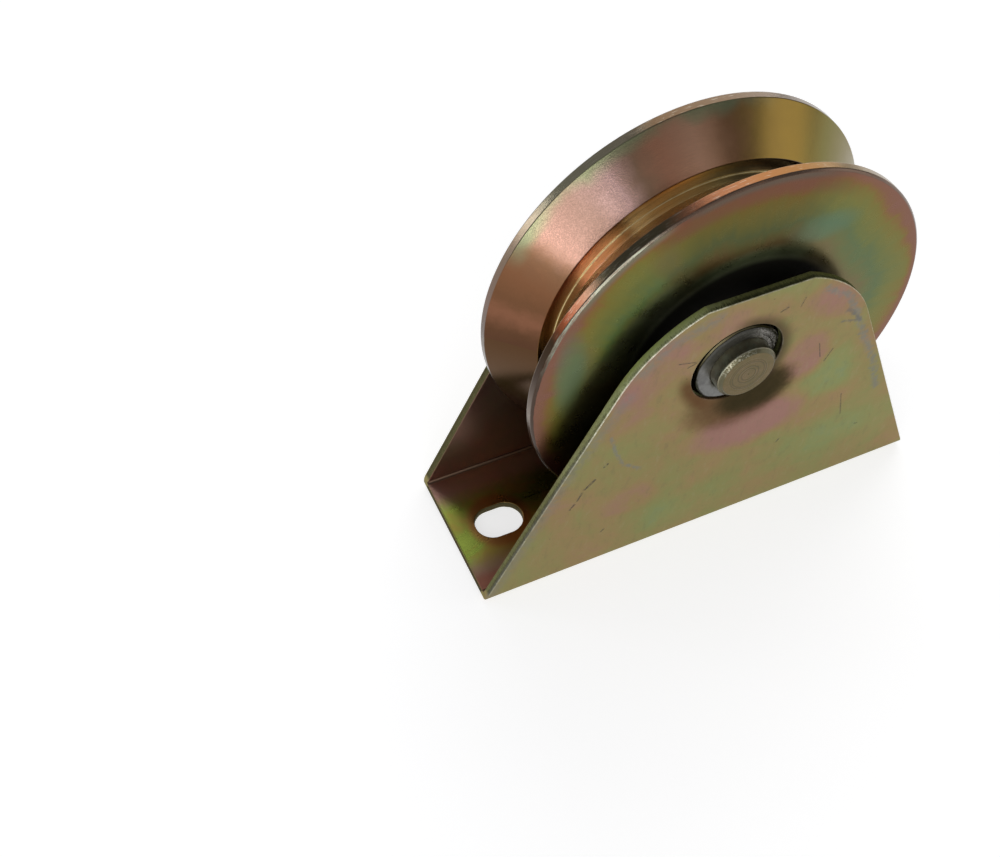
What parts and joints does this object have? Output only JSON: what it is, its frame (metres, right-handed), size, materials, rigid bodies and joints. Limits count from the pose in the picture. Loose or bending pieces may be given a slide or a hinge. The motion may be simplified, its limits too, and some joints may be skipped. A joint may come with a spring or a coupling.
{
  "type": "gate wheel",
  "caption": "Grooved steel roller on a sealed ball bearing, carried by a folded sheet-metal channel bracket with slotted base, for a sliding gate that runs on a rail.",
  "frame": {"origin": "centre of the bracket base's underside, straight below the axle", "axes": "+X along the bracket, +Y along the axle, +Z from the base to the wheel; the seen cheek is at -Y"},
  "size_m": [0.1008, 0.036, 0.0892],
  "materials": {
    "zinc_bracket": "yellow passivated zinc, iridescent, satin",
    "zinc_wheel": "yellow passivated zinc on turned steel, iridescent",
    "zinc_pin": "dull yellow passivated zinc, turned end",
    "weld_metal": "bare weld metal, rippled, sooted at its rim",
    "zinc_spacer": "yellow passivated zinc, turned",
    "bearing_steel": "ground bearing steel",
    "ball_steel": "polished bearing ball",
    "cage_steel": "pressed steel",
    "shield_steel": "pressed steel, satin",
    "spring_steel": "blackened spring steel"
  },
  "bodies": {
    "bracket": {"bracket": "zinc_bracket", "axle_pin": "zinc_pin", "axle_weld_front": "weld_metal", "axle_weld_rear": "weld_metal", "spacer_front": "zinc_spacer", "spacer_rear": "zinc_spacer", "bearing_inner_ring": "bearing_steel"},
    "wheel": {"wheel": "zinc_wheel", "bearing_outer_ring": "bearing_steel", "bearing_shield_front": "shield_steel", "bearing_shield_rear": "shield_steel", "circlip": "spring_steel"},
    "cage": {"cage_half_front": "cage_steel", "cage_half_rear": "cage_steel", "cage_rivets": "cage_steel"},
    "ball_1": {"ball_1": "ball_steel"},
    "ball_2": {"ball_2": "ball_steel"},
    "ball_3": {"ball_3": "ball_steel"},
    "ball_4": {"ball_4": "ball_steel"},
    "ball_5": {"ball_5": "ball_steel"},
    "ball_6": {"ball_6": "ball_steel"},
    "ball_7": {"ball_7": "ball_steel"}
  },
  "joints": [
    {"name": "wheel_spin", "type": "hinge", "parent": "bracket", "child": "wheel", "pos_m": [0, 0, 0.0492], "axis": [0, 1, 0], "continuous": true},
    {"name": "cage_spin", "type": "hinge", "parent": "bracket", "child": "cage", "pos_m": [0, 0, 0.0492], "axis": [0, 1, 0], "continuous": true},
    {"name": "ball_1_spin", "type": "hinge", "parent": "cage", "child": "ball_1", "pos_m": [0.011, 0, 0.0492], "axis": [0, 1, 0], "continuous": true},
    {"name": "ball_2_spin", "type": "hinge", "parent": "cage", "child": "ball_2", "pos_m": [0.00686, 0, 0.0578], "axis": [0, 1, 0], "continuous": true},
    {"name": "ball_3_spin", "type": "hinge", "parent": "cage", "child": "ball_3", "pos_m": [-0.00245, 0, 0.05992], "axis": [0, 1, 0], "continuous": true},
    {"name": "ball_4_spin", "type": "hinge", "parent": "cage", "child": "ball_4", "pos_m": [-0.00991, 0, 0.05397], "axis": [0, 1, 0], "continuous": true},
    {"name": "ball_5_spin", "type": "hinge", "parent": "cage", "child": "ball_5", "pos_m": [-0.00991, 0, 0.04443], "axis": [0, 1, 0], "continuous": true},
    {"name": "ball_6_spin", "type": "hinge", "parent": "cage", "child": "ball_6", "pos_m": [-0.00245, 0, 0.03848], "axis": [0, 1, 0], "continuous": true},
    {"name": "ball_7_spin", "type": "hinge", "parent": "cage", "child": "ball_7", "pos_m": [0.00686, 0, 0.0406], "axis": [0, 1, 0], "continuous": true}
  ],
  "couplings": [
    {"joint": "cage_spin", "follows": "wheel_spin", "ratio": 0.6353},
    {"joint": "ball_1_spin", "follows": "wheel_spin", "ratio": 1.7125},
    {"joint": "ball_2_spin", "follows": "wheel_spin", "ratio": 1.7125},
    {"joint": "ball_3_spin", "follows": "wheel_spin", "ratio": 1.7125},
    {"joint": "ball_4_spin", "follows": "wheel_spin", "ratio": 1.7125},
    {"joint": "ball_5_spin", "follows": "wheel_spin", "ratio": 1.7125},
    {"joint": "ball_6_spin", "follows": "wheel_spin", "ratio": 1.7125},
    {"joint": "ball_7_spin", "follows": "wheel_spin", "ratio": 1.7125}
  ]
}
